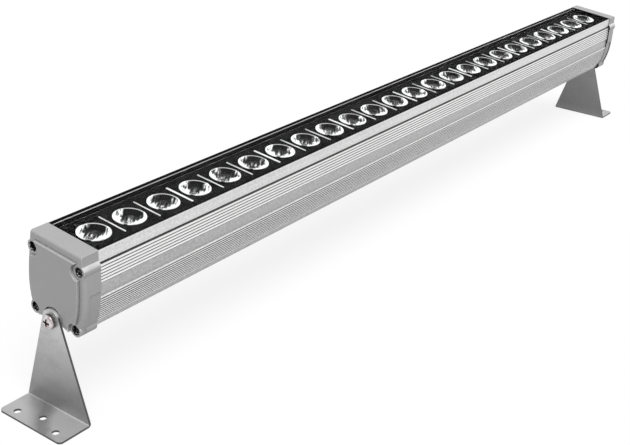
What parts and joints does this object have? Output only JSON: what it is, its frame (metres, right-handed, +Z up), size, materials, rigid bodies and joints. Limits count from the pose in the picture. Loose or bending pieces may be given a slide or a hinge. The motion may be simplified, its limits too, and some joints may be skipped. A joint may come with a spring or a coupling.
{
  "type": "wall washer light",
  "caption": "Long ribbed aluminium bar light with a row of round lenses under glass, tilting between two bent sheet feet.",
  "frame": {"origin": "on the mounting surface, midway between the two feet and under the middle of the bar", "axes": "X along the bar, the end with the cable gland is +X; Y across the bar; Z up, away from the mounting surface; at rest the light leans 6 degrees toward -Y"},
  "size_m": [1.073, 0.077, 0.1607],
  "materials": {
    "anodised_aluminium": "satin",
    "clear_glass": "gloss",
    "black_silicone": "matte",
    "white_board": "satin",
    "diode": "satin",
    "steel": "satin",
    "bright_strip": "gloss",
    "green_board": "satin",
    "ferrite": "matte",
    "capacitor_sleeve": "gloss",
    "cast_cap": "satin",
    "grey_silicone": "matte",
    "brass": "satin",
    "bright_steel": "gloss",
    "gland_plastic": "matte",
    "foot_sheet": "satin",
    "black_plate": "matte",
    "clear_lens": "gloss"
  },
  "bodies": {
    "left_foot": {"foot_left": "foot_sheet"},
    "light": {"housing": "anodised_aluminium", "glass": "clear_glass", "glass_seal": "black_silicone", "led_board": "white_board", "led_diodes": "diode", "board_screws": "steel", "thin_strips": "bright_strip", "wide_strips": "bright_strip", "driver_board": "green_board", "driver_transformer": "ferrite", "driver_capacitors": "capacitor_sleeve", "end_cap_left": "cast_cap", "end_cap_right": "cast_cap", "cap_gasket_left": "grey_silicone", "cap_gasket_right": "grey_silicone", "cap_screws_left": "steel", "cap_screws_right": "steel", "pivot_insert_left": "brass", "pivot_insert_right": "brass", "pivot_bolt_left": "bright_steel", "pivot_bolt_right": "bright_steel", "lock_washer_left": "steel", "lock_washer_right": "steel", "cable_gland": "gland_plastic", "gland_nut": "gland_plastic", "lens_plate_1": "black_plate", "lens_plate_2": "black_plate", "lens_plate_3": "black_plate", "lens_plate_4": "black_plate", "lens_plate_5": "black_plate", "lens_plate_6": "black_plate", "lens_plate_7": "black_plate", "lens_plate_8": "black_plate", "lens_1": "clear_lens", "lens_2": "clear_lens", "lens_3": "clear_lens", "lens_4": "clear_lens", "lens_5": "clear_lens", "lens_6": "clear_lens", "lens_7": "clear_lens", "lens_8": "clear_lens", "lens_9": "clear_lens", "lens_10": "clear_lens", "lens_11": "clear_lens", "lens_12": "clear_lens", "lens_13": "clear_lens", "lens_14": "clear_lens", "lens_15": "clear_lens", "lens_16": "clear_lens", "lens_17": "clear_lens", "lens_18": "clear_lens", "lens_19": "clear_lens", "lens_20": "clear_lens", "lens_21": "clear_lens", "lens_22": "clear_lens", "lens_23": "clear_lens", "lens_24": "clear_lens"},
    "right_foot": {"foot_right": "foot_sheet"}
  },
  "joints": [
    {"name": "tilt", "type": "hinge", "parent": "left_foot", "child": "light", "pos_m": [-0.504, 0, 0.0875], "axis": [1, 0, 0], "range_deg": [-96, 84]},
    {"name": "right_foot_swivel", "type": "hinge", "parent": "light", "child": "right_foot", "pos_m": [0.504, 0, 0.0875], "axis": [1, 0, 0], "range_deg": [-84, 96]}
  ],
  "couplings": [
    {"joint": "right_foot_swivel", "follows": "tilt", "ratio": -1}
  ]
}
